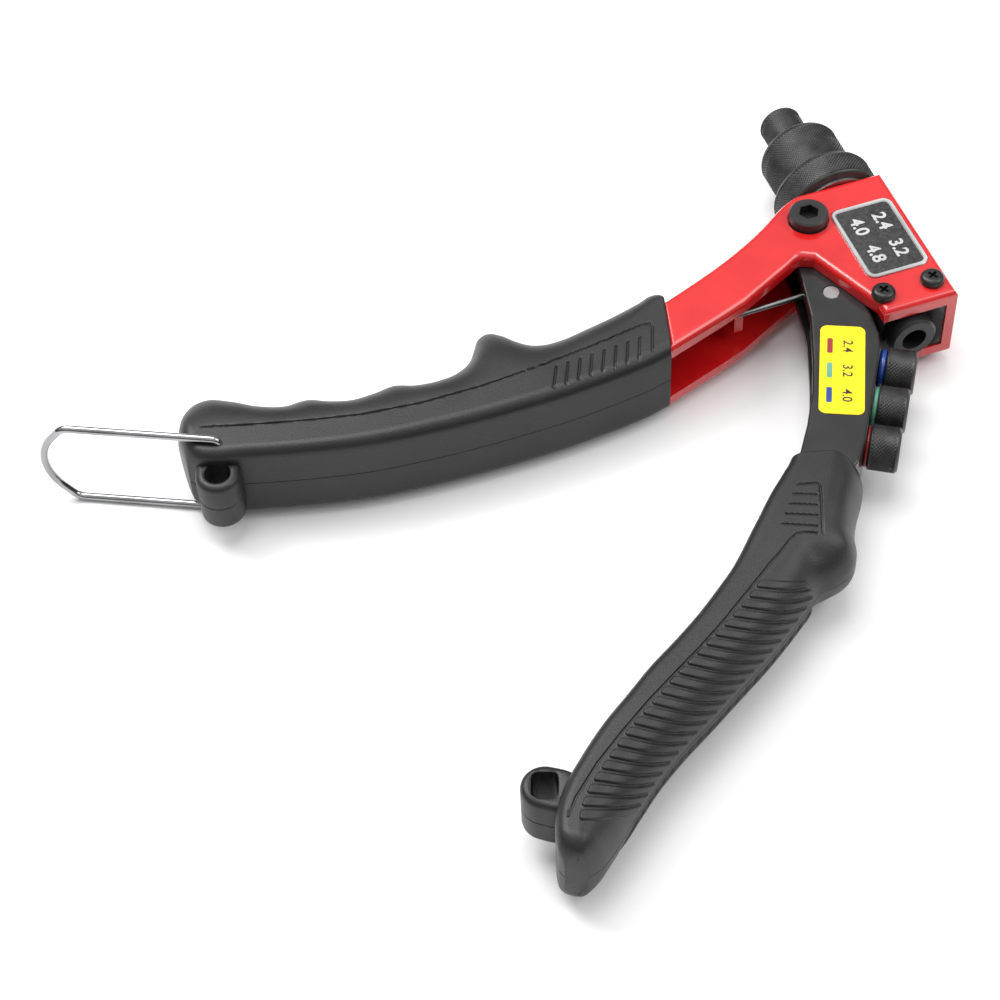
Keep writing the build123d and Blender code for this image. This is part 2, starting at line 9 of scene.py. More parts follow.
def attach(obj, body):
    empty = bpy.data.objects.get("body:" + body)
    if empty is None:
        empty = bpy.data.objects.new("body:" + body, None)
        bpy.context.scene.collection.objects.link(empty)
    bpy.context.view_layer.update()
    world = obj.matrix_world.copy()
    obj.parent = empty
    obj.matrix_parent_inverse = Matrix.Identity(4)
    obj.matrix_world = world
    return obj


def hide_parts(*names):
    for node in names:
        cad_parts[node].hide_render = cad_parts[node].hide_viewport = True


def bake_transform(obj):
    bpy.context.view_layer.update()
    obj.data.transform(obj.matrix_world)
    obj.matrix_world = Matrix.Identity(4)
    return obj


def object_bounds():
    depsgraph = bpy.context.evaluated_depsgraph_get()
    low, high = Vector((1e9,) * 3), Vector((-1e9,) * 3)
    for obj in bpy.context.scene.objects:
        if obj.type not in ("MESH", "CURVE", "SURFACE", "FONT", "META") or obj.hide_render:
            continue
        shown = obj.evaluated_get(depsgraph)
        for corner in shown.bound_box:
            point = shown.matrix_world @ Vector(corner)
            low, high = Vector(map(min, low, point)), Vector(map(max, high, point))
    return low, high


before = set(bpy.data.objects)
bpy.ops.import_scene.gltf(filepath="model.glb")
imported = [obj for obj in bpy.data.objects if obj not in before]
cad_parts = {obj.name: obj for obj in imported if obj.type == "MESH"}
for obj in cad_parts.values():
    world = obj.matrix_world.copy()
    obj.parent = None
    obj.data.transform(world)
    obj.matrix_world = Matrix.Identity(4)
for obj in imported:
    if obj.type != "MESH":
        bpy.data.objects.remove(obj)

cad_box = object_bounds()
scene = bpy.context.scene
scene.view_settings.view_transform = "Standard"
MM = 0.001

# Driving dimensions in millimetres, in the row frame: origin at the nosepiece's front face, +Y out of the tip
GRIP_HALF = 15.2
EYE_HALF = 9.8
FIXED_EYE = (-229.4, -93.5)
LEVER_EYE = (-172.4, -235.6)
EDGE_ANGLE = radians(31.6)
OUT_DIR = Vector((cos(EDGE_ANGLE), -sin(EDGE_ANGLE), 0))
WEB_DIR = Vector((-sin(EDGE_ANGLE), -cos(EDGE_ANGLE), 0))
WEB_START = Vector((-16.2, -119.0, 0))
SPARE_PITCH = 16.65
SPARE_R = 7.3
SPARE_LENGTH = 9.6
SPARES = {"blue": (2.4, 1.05), "green": (1.8, 1.25), "red": (1.2, 0.85)}
BAIL_PIVOT = Vector((-226.3, -86.5, 0))
BAIL_ANGLE = radians(154)
BAIL_LENGTH = 50.0
BAIL_BOW = 14.0
BAIL_HALF = 16.6
BAIL_WIRE_R = 1.25
BAIL_END = 7.1
SPRING_PIN = Vector((-20.5, -90.0, 0))
COIL_R = 5.8
COIL_TURNS = 4.25
COIL_HALF = 4.5
WIRE_R = 0.95


# ---- materials -------------------------------------------------------------------------------

def make_material(name, dark, light, roughness, metallic=0.0, patch=60.0, grain=900.0, grain_height=0.00004,
                  grain_strength=0.3, rough_spread=0.08, coat=0.0, coat_roughness=0.05, specular=0.5, edge=None):
    """Principled material whose colour, roughness and bump all vary with object-space noise.

    dark and light are the ends of the colour's variation; edge is a lighter colour painted on convex edges as a
    highlight.
    """
    material = bpy.data.materials.new(name)
    material.use_nodes = True
    nodes = material.node_tree.nodes
    link = material.node_tree.links.new
    shader = nodes["Principled BSDF"]
    shader.inputs["Metallic"].default_value = metallic
    shader.inputs["Coat Weight"].default_value = coat
    shader.inputs["Coat Roughness"].default_value = coat_roughness
    shader.inputs["Specular IOR Level"].default_value = specular
    place = nodes.new("ShaderNodeTexCoord")
    blotches = nodes.new("ShaderNodeTexNoise")
    blotches.inputs["Scale"].default_value = patch
    blotches.inputs["Detail"].default_value = 6
    link(place.outputs["Object"], blotches.inputs["Vector"])
    colours = nodes.new("ShaderNodeValToRGB")
    colours.color_ramp.elements[0].position = 0.35
    colours.color_ramp.elements[0].color = (*dark, 1)
    colours.color_ramp.elements[1].position = 0.68
    colours.color_ramp.elements[1].color = (*light, 1)
    link(blotches.outputs["Fac"], colours.inputs["Fac"])
    colour = colours.outputs["Color"]
    # painted highlight: convex edges, found by pointiness, are mixed towards the lighter edge colour
    if edge:
        geometry = nodes.new("ShaderNodeNewGeometry")
        ridge = nodes.new("ShaderNodeMapRange")
        ridge.inputs["From Min"].default_value = 0.51
        ridge.inputs["From Max"].default_value = 0.62
        ridge.inputs["To Max"].default_value = 0.7
        link(geometry.outputs["Pointiness"], ridge.inputs["Value"])
        painted_edge_highlight = nodes.new("ShaderNodeMix")
        painted_edge_highlight.data_type = "RGBA"
        painted_edge_highlight.inputs["B"].default_value = (*edge, 1)
        link(ridge.outputs["Result"], painted_edge_highlight.inputs["Factor"])
        link(colour, painted_edge_highlight.inputs["A"])
        colour = painted_edge_highlight.outputs["Result"]
    link(colour, shader.inputs["Base Color"])
    roughs = nodes.new("ShaderNodeMapRange")
    roughs.inputs["To Min"].default_value = roughness - rough_spread
    roughs.inputs["To Max"].default_value = roughness + rough_spread
    link(blotches.outputs["Fac"], roughs.inputs["Value"])
    link(roughs.outputs["Result"], shader.inputs["Roughness"])
    grains = nodes.new("ShaderNodeTexNoise")
    grains.inputs["Scale"].default_value = grain
    grains.inputs["Detail"].default_value = 3
    link(place.outputs["Object"], grains.inputs["Vector"])
    bump = nodes.new("ShaderNodeBump")
    bump.inputs["Strength"].default_value = grain_strength
    bump.inputs["Distance"].default_value = grain_height
    link(grains.outputs["Fac"], bump.inputs["Height"])
    link(bump.outputs["Normal"], shader.inputs["Normal"])
    return material


red_paint = make_material("red_enamel", (0.5, 0.006, 0.008), (0.6, 0.012, 0.012), 0.24, grain=240,
                          grain_height=0.00012, grain_strength=0.2, coat=0.7, rough_spread=0.05)
# the edge colours of these two steels are painted highlights on their convex edges
black_steel = make_material("black_oxide_steel", (0.008, 0.008, 0.0085), (0.02, 0.02, 0.021), 0.34, metallic=0.2,
                            grain=1500, grain_height=0.00003, edge=(0.05, 0.05, 0.052))
knurled_steel = make_material("phosphated_steel", (0.018, 0.018, 0.0185), (0.042, 0.042, 0.042), 0.4, metallic=0.5,
                              patch=220, grain=2600, grain_height=0.00003, edge=(0.1, 0.1, 0.098))
bright_steel = make_material("bright_steel", (0.32, 0.32, 0.33), (0.5, 0.5, 0.51), 0.3, metallic=1.0, grain=1800,
                             grain_height=0.00002)
spring_steel = make_material("spring_steel", (0.16, 0.16, 0.16), (0.32, 0.32, 0.32), 0.33, metallic=1.0)
black_moulding = make_material("black_moulding", (0.009, 0.009, 0.0095), (0.017, 0.017, 0.0175), 0.38, grain=1500,
                               grain_strength=0.35, specular=0.4)
lever_black = make_material("black_lever_coat", (0.007, 0.007, 0.0075), (0.013, 0.013, 0.0135), 0.3, grain=420,
                            grain_height=0.00008, grain_strength=0.25, coat=0.25, coat_roughness=0.2)
grip_plastic = make_material("textured_black_plastic", (0.011, 0.011, 0.0115), (0.019, 0.019, 0.0195), 0.42,
                             patch=45, grain=1900, grain_height=0.00016, grain_strength=0.6, rough_spread=0.06,
                             specular=0.42)
label_border = make_material("label_border", (0.55, 0.55, 0.55), (0.72, 0.72, 0.72), 0.34, metallic=0.8,
                             grain=1600)
label_field = make_material("label_field", (0.02, 0.02, 0.021), (0.05, 0.05, 0.052), 0.5, metallic=0.3, patch=900,
                            grain=2500, grain_strength=0.5)
label_marks = make_material("label_marks", (0.5, 0.5, 0.5), (0.66, 0.66, 0.66), 0.4, metallic=0.4)
sticker_yellow = make_material("sticker_yellow", (0.82, 0.6, 0.0), (0.92, 0.7, 0.004), 0.38, grain=300,
                               grain_strength=0.1, rough_spread=0.05)
sticker_ink = make_material("sticker_ink", (0.015, 0.014, 0.01), (0.03, 0.028, 0.02), 0.45)
ring_colours = {
    "blue": make_material("ring_blue", (0.012, 0.05, 0.24), (0.025, 0.09, 0.34), 0.28, coat=0.4),
    "green": make_material("ring_green", (0.1, 0.3, 0.2), (0.15, 0.38, 0.26), 0.36),
    "red": make_material("ring_red", (0.2, 0.015, 0.015), (0.32, 0.03, 0.03), 0.36),
}
chrome = make_material("chrome_wire", (0.3, 0.3, 0.305), (0.42, 0.42, 0.43), 0.16, metallic=1.0, grain=400,
                       grain_strength=0.08, rough_spread=0.04)

CAD_FINISHES = {
    "frame_body": red_paint,
    "pivot_bolt": black_steel, "pivot_nut": black_steel, "end_screws": black_steel,
    "end_block": black_moulding, "exit_sleeve": black_moulding,
    "lever": lever_black,
    "nose_barrel": bright_steel, "jaw_case": bright_steel, "jaws": bright_steel, "jaw_pusher": bright_steel,
    "jaw_spring": spring_steel, "pull_rod": bright_steel, "trunnion_pins": bright_steel,
    "stem_tube": bright_steel, "fulcrum_bush": bright_steel, "spring_pin": bright_steel,
}
for node_name, finish in CAD_FINISHES.items():
    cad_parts[node_name].data.materials.clear()
    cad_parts[node_name].data.materials.append(finish)


# ---- mesh helpers ------------------------------------------------------------------------------

def make_piece(name, points, faces, material, body, replaced=(), sharp=30):
    """Mesh object from millimetre points; rides on a CAD body, if given, and may stand for CAD nodes."""
    mesh = bpy.data.meshes.new(name)
    mesh.from_pydata([tuple(c * MM for c in p) for p in points], [], faces)
    mesh.validate()
    work = bmesh.new()
    work.from_mesh(mesh)
    bmesh.ops.remove_doubles(work, verts=work.verts, dist=1e-7)
    bmesh.ops.recalc_face_normals(work, faces=work.faces)
    work.to_mesh(mesh)
    work.free()
    for polygon in mesh.polygons:
        polygon.use_smooth = True
    mesh.set_sharp_from_angle(angle=radians(sharp))
    mesh.materials.append(material)
    piece = bpy.data.objects.new(name, mesh)
    scene.collection.objects.link(piece)
    if body:
        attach(piece, body)
    if replaced:
        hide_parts(*replaced)
    return piece


def grid_faces(rows, columns, close_rows=False, close_columns=False, start=0):
    """Quads of a rows x columns grid of points."""
    faces = []
    for i in range(rows if close_rows else rows - 1):
        for j in range(columns if close_columns else columns - 1):
            a, b = i, (i + 1) % rows
            c, d = j, (j + 1) % columns
            faces.append((start + a * columns + c, start + a * columns + d,
                          start + b * columns + d, start + b * columns + c))
    return faces


def arc(centre, radius, start, end, steps):
    """Points of an arc, angles in degrees."""
    return [(centre[0] + radius * cos(radians(start + (end - start) * k / steps)),
             centre[1] + radius * sin(radians(start + (end - start) * k / steps))) for k in range(steps + 1)]


def knurl(turn, height, periods, pitch):
    """Height 0..1 of a diamond knurl's pyramids at an angle (in turns) and a distance along the axis."""
    across, along = turn * periods, height / pitch
    first = abs(2 * ((across + along) % 1) - 1)
    second = abs(2 * ((across - along) % 1) - 1)
    return min(min(first, second) / 0.75, 1)


def lathe(name, profile, knurled, periods, depth, place, material, body, replaced):
    """Closed turned piece from a loop of (radius, y) points, with a diamond knurl on its outside.

    knurled = (y_start, y_end) is inserted after the first profile point and has the radius of that point.
    """
    samples = 4 * periods
    pitch = tau * profile[0][0] / periods
    rows = []
    steps = ceil(abs(knurled[1] - knurled[0]) / (pitch / 4))
    for k in range(steps + 1):
        rows.append((profile[0][0], knurled[0] + (knurled[1] - knurled[0]) * k / steps, True))
    rows += [(r, y, False) for r, y in profile[1:]]
    points = []
    for radius, y, cut in rows:
        fade = min(abs(y - knurled[0]), abs(y - knurled[1]), 0.4) / 0.4 if cut else 0
        for k in range(samples):
            r = radius
            if cut:
                r -= depth * fade * (1 - knurl(k / samples, y - knurled[0], periods, pitch))
            angle = tau * k / samples
            points.append(place @ Vector((r * cos(angle), y, r * sin(angle))))
    faces = grid_faces(len(rows), samples, close_rows=True, close_columns=True)
    return make_piece(name, points, faces, material, body, replaced, sharp=50)


def tube(name, path, radius, material, body, replaced=(), sides=20):
    """Round wire along a path of points, with closed ends."""
    path = [Vector(p) for p in path]
    side = (path[1] - path[0]).orthogonal().normalized()
    points = []
    for k, at in enumerate(path):
        ahead = (path[min(k + 1, len(path) - 1)] - path[max(k - 1, 0)]).normalized()
        side = (side - ahead * side.dot(ahead)).normalized()
        other = ahead.cross(side)
        for j in range(sides):
            angle = tau * j / sides
            points.append(at + (side * cos(angle) + other * sin(angle)) * radius)
    faces = grid_faces(len(path), sides, close_columns=True)
    faces.append(tuple(range(sides)))
    faces.append(tuple((len(path) - 1) * sides + j for j in range(sides)))
    return make_piece(name, points, faces, material, body, replaced, sharp=50)


def smooth_rows(table, spacing):
    """Catmull-Rom interpolation of a table of rows, at an even spacing of the mean of its two edge points."""
    table = np.array(table, float)
    middle = (table[:, 0:2] + table[:, 2:4]) / 2
    reach = np.concatenate([[0], np.cumsum(np.linalg.norm(np.diff(middle, axis=0), axis=1))])
    stations = np.linspace(0, reach[-1], int(reach[-1] / spacing) + 1)
    slopes = np.gradient(table, reach, axis=0)
    result = np.empty((len(stations), table.shape[1]))
    for n, s in enumerate(stations):
        k = min(np.searchsorted(reach, s, side="right") - 1, len(reach) - 2)
        gap = reach[k + 1] - reach[k]
        t = (s - reach[k]) / gap
        result[n] = ((2 * t**3 - 3 * t**2 + 1) * table[k] + (t**3 - 2 * t**2 + t) * gap * slopes[k]
                     + (3 * t**2 - 2 * t**3) * table[k + 1] + (t**3 - t**2) * gap * slopes[k + 1])
    return stations, result


def distance_to_line(x, y, line):
    """Distance in plan from points to an open line of (x, y) points."""
    best = np.full(x.shape, 1e9)
    for (ax, ay), (bx, by) in zip(line, line[1:]):
        length2 = (bx - ax) ** 2 + (by - ay) ** 2
        t = np.clip(((x - ax) * (bx - ax) + (y - ay) * (by - ay)) / length2, 0, 1)
        best = np.minimum(best, np.hypot(x - ax - t * (bx - ax), y - ay - t * (by - ay)))
    return best


def step(value):
    """Smooth step from 0 to 1 over the value's 0..1."""
    value = np.clip(value, 0, 1)
    return value * value * (3 - 2 * value)


# ---- grips: cross sections lofted between a palm edge and a finger edge ----------------------------

PALM_ROUND = 4.0
END_ROUND = 6.0
MOUTH_ROUND = 0.8
PARTING = 0.22
LINE_MARGIN = 1.0
GROOVE_LOWEST = 7.0
TOP_COLUMN = 30


def grip_surface(table, spacing, end_round):
    """Upper half of a grip: grid of points, the stations' distances and each point's distance over the surface.

    A table row is palm x, y, finger x, y and how far the engraved line is from the palm edge.
    """
    stations, rows = smooth_rows(table, spacing)
    total = stations[-1]
    grid, over = [], []
    for s, (px, py, fx, fy, flat) in zip(stations, rows):
        inset = 0.0
        if s < MOUTH_ROUND:
            inset = MOUTH_ROUND - sqrt(MOUTH_ROUND**2 - (MOUTH_ROUND - s) ** 2)
        half = GRIP_HALF - inset
        left = total - s
        if left < end_round:
            half -= end_round - sqrt(end_round**2 - (end_round - left) ** 2)
        palm, finger = np.array((px, py)), np.array((fx, fy))
        width = np.linalg.norm(finger - palm)
        across = (finger - palm) / width
        round_r = min(PALM_ROUND, half * 0.8)
        far = width - inset
        side = max(far - flat - LINE_MARGIN, 3.0)
        section = [(inset + PARTING, 0.0), (inset, PARTING)]
        section += [(inset, half * k / 5 - round_r * k / 5) for k in range(1, 6)]
        section += [(inset + round_r - round_r * cos(a), half - round_r + round_r * sin(a))
                    for a in np.linspace(0.2, pi / 2, 8)]
        section += [(inset + round_r + (far - side - inset - round_r) * k / 44, half) for k in range(1, 45)]
        turns = pi / 2 * np.linspace(0.02, 0.98, 90) ** 1.1
        section += [(far - side + side * sin(a), half * cos(a)) for a in turns]
        section += [(far, PARTING), (far - PARTING, 0.0)]
        section = np.array(section)
        line = np.column_stack([palm + np.outer(section[:, 0], across), section[:, 1]])
        grid.append(line)
        over.append(np.concatenate([[0], np.cumsum(np.linalg.norm(np.diff(section, axis=0), axis=1))]))
    return stations, rows, np.array(grid), np.array(over)


def displace(grid, depth):
    """Moves the grid's points along its normals."""
    along = np.gradient(grid, axis=0)
    across = np.gradient(grid, axis=1)
    normal = np.cross(across, along)
    normal /= np.maximum(np.linalg.norm(normal, axis=2, keepdims=True), 1e-9)
    if normal[len(grid) // 2, TOP_COLUMN, 2] < 0:
        normal = -normal
    return grid + normal * depth[..., None]


def grip_halves(name, grid, body):
    """The upper half shell and its mirror image below the middle plane, each closed along that plane."""
    rows, columns, _ = grid.shape
    faces = grid_faces(rows, columns)
    for i in range(rows - 1):
        start = i * columns
        faces.append((start, start + columns, start + 2 * columns - 1, start + columns - 1))
    faces.append(tuple(range(columns)))
    faces.append(tuple((rows - 1) * columns + j for j in range(columns)))
    for side, half in ((1, "upper"), (-1, "lower")):
        points = (grid * (1, 1, side)).reshape(-1, 3)
        make_piece(f"{name}_{half}_shell", points, faces, grip_plastic, body, [f"{name}_{half}"],
                   sharp=40)


def groove(grid, lines, half_width, depth):
    """Depth of engraved lines on the flat top."""
    total = np.zeros(grid.shape[:2])
    for line in lines:
        near = distance_to_line(grid[..., 0], grid[..., 1], line)
        total = np.maximum(total, depth * step((half_width - near) / (0.6 * half_width)))
    return np.where(grid[..., 2] > GROOVE_LOWEST, -total, 0)


# fixed grip
FIXED_ROWS = [
    (-80.3, -99.6, -73.2, -73.5, 21), (-81.6, -99.9, -74.4, -70.4, 21), (-83.6, -100.4, -76.6, -69.3, 20.5),
    (-87, -101.3, -80.5, -70.2, 19), (-93, -102.3, -88, -72.0, 17), (-104, -103.6, -101, -74.6, 15),
    (-112, -104.3, -111, -75.9, 13), (-116, -104.6, -116, -75.5, 12.3), (-120, -104.8, -121, -73.2, 12),
    (-123.5, -104.9, -124.8, -69, 12), (-127, -105, -127.8, -64.6, 12.2), (-130, -105, -131, -62.4, 12.5),
    (-133.2, -105, -134.4, -63.6, 12.5), (-136.2, -105, -137, -67.6, 12.2), (-139.8, -105, -140.2, -72.6, 12),
    (-145.5, -104.9, -145.6, -76.8, 11.5), (-153, -104.7, -153.5, -78.5, 11.5), (-160, -104.3, -161, -77.5, 11.5),
    (-166, -103.9, -167, -74.8, 11.5), (-173, -103.3, -174, -76, 11.5), (-180, -102.5, -182, -76.4, 11.5),
    (-187, -101.4, -189, -73.8, 11.5), (-192, -100.4, -194.5, -70.6, 11.5), (-199, -98.8, -203, -71, 12),
    (-207, -96.8, -211, -67.5, 12), (-215, -94.6, -218, -62, 12), (-222, -92.6, -225, -58.5, 12),
    (-229, -90.8, -231, -60.5, 11), (-234, -88.6, -235, -66, 9), (-237.3, -85.5, -237.6, -73, 5),
]
_, _, grid, _ = grip_surface(FIXED_ROWS, 0.32, END_ROUND)
fixed_line = [(-229.5, -78.3), (-221, -81), (-211.3, -83.8), (-196, -87.9), (-181.2, -91.1), (-162.7, -93.2),
              (-142.1, -93.3), (-120.4, -91.6), (-102.8, -89.5), (-85.3, -86.7), (-83, -87), (-82.8, -88.8),
              (-86.5, -98.2)]
slants = [[(-117.5 + 4.17 * k, -93.9 + 0.3 * k), (-121.3 + 4.22 * k, -101.9 + 0.27 * k)] for k in range(8)]
depth = groove(grid, [fixed_line] + slants, 0.5, 0.6)
grip_halves("fixed_grip", displace(grid, depth), "body")

# lever grip
LEVER_ROWS = [
    (-62.2, -152.8, -44.2, -157.4, 11), (-62.9, -153.6, -42.4, -160.0, 11.5), (-64.3, -155.1, -42.2, -163.4, 12),
    (-66.5, -157, -44.6, -168.2, 13), (-69.5, -159.7, -48.2, -173.2, 14), (-73, -162.8, -51.2, -178, 15),
    (-77, -166.8, -53.4, -182.6, 15.6), (-80.5, -170.5, -55.0, -187.4, 15), (-84, -174, -58.4, -191.8, 13.5),
    (-88, -178.2, -64.5, -194.6, 11.5), (-91.5, -181.8, -71, -196.2, 10), (-96, -186, -77, -200.4, 9.4),
    (-101, -190, -83.4, -205, 9.2), (-111, -197.5, -94.4, -212.4, 8.6), (-121, -204, -105.8, -219.2, 8),
    (-131, -210, -117.3, -226.2, 7.6), (-141, -217, -127.9, -232.3, 7.2), (-151, -224, -138, -239, 6.8),
    (-161, -232.5, -147.2, -246.4, 6.4), (-167.5, -238.8, -153, -251.4, 6), (-172.2, -245.2, -157.4, -255.6, 5.6),
    (-174.8, -250.6, -161.2, -258.6, 5.4), (-175.8, -254.6, -164.2, -260.6, 5),
    (-176, -257.6, -167.2, -261.7, 4.5), (-175.4, -259.6, -169.2, -262.2, 3.5),
]
RIB_PITCH = 4.3
RIB_HALF = 1.8
RIB_ROUND = 1.2
RIB_HEIGHT = 0.7
stations, rows, grid, over = grip_surface(LEVER_ROWS, 0.28, END_ROUND)
lever_line = [(-67.3, -184), (-70.6, -182.7), (-73.2, -182.2), (-75.9, -183.5), (-80.1, -186.6), (-84.8, -189.5),
              (-94.8, -196.6), (-106.3, -204.6), (-115.6, -210.5), (-126.6, -216.9), (-136.2, -222.6),
              (-147.2, -229.9), (-157.2, -237.1), (-166.8, -245.6), (-170.8, -250.6)]
key_line = [(-65.5, -165.1), (-59.8, -166.6), (-59.2, -167.7), (-61.8, -174.4), (-64.1, -180.2), (-65.7, -184.4)]
teeth = [[(-68 - 2.6 * k, -168 - 3.15 * k), (-61.7 - 1.57 * k, -170.7 - 3.7 * k)] for k in range(4)]
depth = groove(grid, [lever_line, key_line] + teeth, 0.45, 0.55)
to_line = over - (rows[:, 4:5] + PALM_ROUND * (pi / 2 - 1) + GRIP_HALF - PALM_ROUND)
sweep = -0.2 * to_line - 0.03 * to_line**2
lean = np.sqrt(1 + (0.2 + 0.06 * to_line) ** 2)
along = stations[:, None] - sweep
off_centre = abs((along / RIB_PITCH) % 1 - 0.5) * RIB_PITCH / lean
corner_x = np.maximum(off_centre - (RIB_HALF / lean - RIB_ROUND / lean), 0)
corner_y = np.maximum(1.2 + RIB_ROUND - to_line, 0)
outside = np.hypot(corner_x, corner_y) - RIB_ROUND / lean
ribs = RIB_HEIGHT * step(-outside / 0.45) * (to_line > 0.4)
ribs *= step((over[:, -1:] - over - 2.2) / 1.2) * (along > 13 * RIB_PITCH) * (along < 36 * RIB_PITCH)
ribs *= step((stations[:, None] - 48) / 2)
# the dish behind the thumb rest, and the ball of the rest itself
dish = -1.3 * np.exp(-((grid[..., 0] + 70.5) ** 2 + (grid[..., 1] + 190.5) ** 2) / 22)
ball = 1.0 * np.exp(-((grid[..., 0] + 60.5) ** 2 + (grid[..., 1] + 187.5) ** 2) / 18)
shape = (dish + ball) * step((grid[..., 2] + 2) / 6) * (grid[..., 2] > 0)
depth = depth + np.where(ribs > 0, ribs, 0) + shape
grip_halves("lever_grip", displace(grid, depth), "lever")


def grip_eye(name, centre, toward, hole, body):
    """Eye at the end of a grip, in two halves: a rounded ring blended towards the grip."""
    samples = 120
    base = Vector(toward)
    for side, half in ((1, "upper"), (-1, "lower")):
        outer, inner = [], []
        for k in range(samples):
            ray = Vector((cos(tau * k / samples), sin(tau * k / samples)))
            lean = max(ray.dot(base.normalized()), 0)
            outer.append((ray, 7.0 + 4.5 * lean**2))
            if hole == "round":
                inner.append((ray, 4.0))
            else:
                turned = Matrix.Rotation(radians(20), 2) @ ray
                inner.append((ray, (abs(turned.x / 3.8) ** 5 + abs(turned.y / 4.2) ** 5) ** -0.2))
        rings = [(outer, 0.25, 0), (outer, 0, 0.25), (outer, 0, EYE_HALF - 2)]
        rings += [(outer, 2 - 2 * cos(radians(a)), EYE_HALF - 2 + 2 * sin(radians(a)))
                  for a in (22, 45, 67, 90)]
        rings += [(inner, -0.6, EYE_HALF), (inner, -0.15, EYE_HALF - 0.2), (inner, 0, EYE_HALF - 0.7),
                  (inner, 0, 0)]
        points = []
        for outline, inset, height in rings:
            points += [(centre[0] + ray.x * (r - inset), centre[1] + ray.y * (r - inset), side * height)
                       for ray, r in outline]
        faces = grid_faces(len(rings), samples, close_rows=True, close_columns=True)
        make_piece(f"{name}_{half}", points, faces, grip_plastic, body, sharp=40)


grip_eye("fixed_grip_eye", FIXED_EYE, (0.3, 1.0), "round", "body")
grip_eye("lever_grip_eye", LEVER_EYE, (0.85, -0.6), "square", "lever")


# ---- nose: knurled lock ring, sleeve and nosepiece ------------------------------------------------
nose = Matrix.Identity(4)
lathe("knurled_lock_ring",
      [(18.0, 0), (17.8, -47.4), (17.2, -47.8), (12.1, -47.8), (12.1, -40.5), (14.6, -40.5), (14.6, -36.1),
       (15.4, -36.0)] + [(x, y) for x, y in arc((15.6, -38.3), 2.3, 90, 8, 7)],
      (-38.2, -47.0), 96, 0.42, nose, knurled_steel, "lock_ring", ["lock_ring"])
lathe("knurled_nose_sleeve",
      [(14.2, 0), (14.2, -40.2), (12.1, -40.2), (12.1, -21.0), (5.02, -21.0), (5.02, -15.7), (11.3, -15.7)]
      + [(x, y) for x, y in arc((11.6, -18.2), 2.5, 90, 8, 7)],
      (-18.2, -39.4), 76, 0.4, nose, knurled_steel, "nose_sleeve", ["nose_sleeve"])
lathe("knurled_nosepiece",
      [(7.5, 0), (7.3, -15.5), (7.0, -15.68), (4.95, -15.68), (4.95, -21), (3.2, -25), (1.6, -25.5), (1.6, -0.25),
       (1.9, 0), (6.4, 0), (7.1, -0.35), (7.4, -1.0)],
      (-1.3, -15.2), 40, 0.36, nose, knurled_steel, "nosepiece", ["nosepiece"])

# ---- spare nosepieces and their colour rings ---------------------------------------------------------
for number, (colour, (ring_width, bore_r)) in enumerate(SPARES.items()):
    foot = WEB_START + WEB_DIR * (SPARE_PITCH * number)
    place = Matrix(((OUT_DIR.y, OUT_DIR.x, 0, foot.x), (-OUT_DIR.x, OUT_DIR.y, 0, foot.y),
                    (0, 0, 1, 0), (0, 0, 0, 1)))
    low, top = ring_width, ring_width + SPARE_LENGTH
    lathe(f"knurled_spare_{colour}",
          [(SPARE_R, 0), (SPARE_R - 0.15, top - 0.7), (SPARE_R - 0.8, top), (bore_r + 0.5, top),
           (bore_r, top - 0.5), (bore_r, -5), (4.4, -5), (5.0, -4.5), (5.0, low),
           (SPARE_R - 0.4, low), (SPARE_R - 0.1, low + 0.3)],
          (low + 0.5, top - 1.0), 40, 0.36, place, knurled_steel, f"spare_{colour}",
          [f"spare_nosepiece_{colour}"])
    ring_r = SPARE_R - 0.7
    bulge = ring_width / 2
    rim = [(ring_r - bulge + bulge * cos(radians(a)), bulge + (bulge - 0.03) * sin(radians(a)))
           for a in range(-90, 91, 15)]
    samples = 96
    loop = [(5.0, ring_width - 0.03), (5.0, 0.03)] + rim
    points = [place @ Vector((r * cos(tau * k / samples), y, r * sin(tau * k / samples)))
              for r, y in loop for k in range(samples)]
    faces = grid_faces(len(loop), samples, close_rows=True, close_columns=True)
    make_piece(f"spare_ring_{colour}", points, faces, ring_colours[colour], f"spare_{colour}",
               [f"colour_ring_{colour}"], sharp=50)

# ---- label plate with generic rivet sizes --------------------------------------------------------------
PLATE = (-9.2, 12.6, -94.1, -61.3)


def rounded_rectangle(x0, x1, y0, y1, radius, steps=8):
    """Corner points, anticlockwise."""
    return (arc((x1 - radius, y1 - radius), radius, 0, 90, steps)
            + arc((x0 + radius, y1 - radius), radius, 90, 180, steps)
            + arc((x0 + radius, y0 + radius), radius, 180, 270, steps)
            + arc((x1 - radius, y0 + radius), radius, 270, 360, steps))


def plate_rings(levels):
    """Stack of rounded rectangles (inset, z), closed by a face at each end."""
    points = []
    for inset, z in levels:
        loop = rounded_rectangle(PLATE[0] + inset, PLATE[1] - inset, PLATE[2] + inset, PLATE[3] - inset,
                                 max(3.2 - inset, 0.6))
        points += [(x, y, z) for x, y in loop]
    count = len(points) // len(levels)
    faces = grid_faces(len(levels), count, close_columns=True)
    faces.append(tuple(range(count)))
    faces.append(tuple(len(points) - count + k for k in range(count)))
    return points, faces


points, faces = plate_rings([(0, 14.2), (0, 14.85), (0.25, 15.1), (1.1, 15.1), (1.4, 14.75), (1.7, 14.7)])
make_piece("label_plate_rim", points, faces, label_border, "body", ["label_plate"], sharp=35)
points, faces = plate_rings([(1.45, 14.5), (1.45, 14.78), (1.75, 14.82)])
make_piece("label_plate_field", points, faces, label_field, "body", sharp=35)


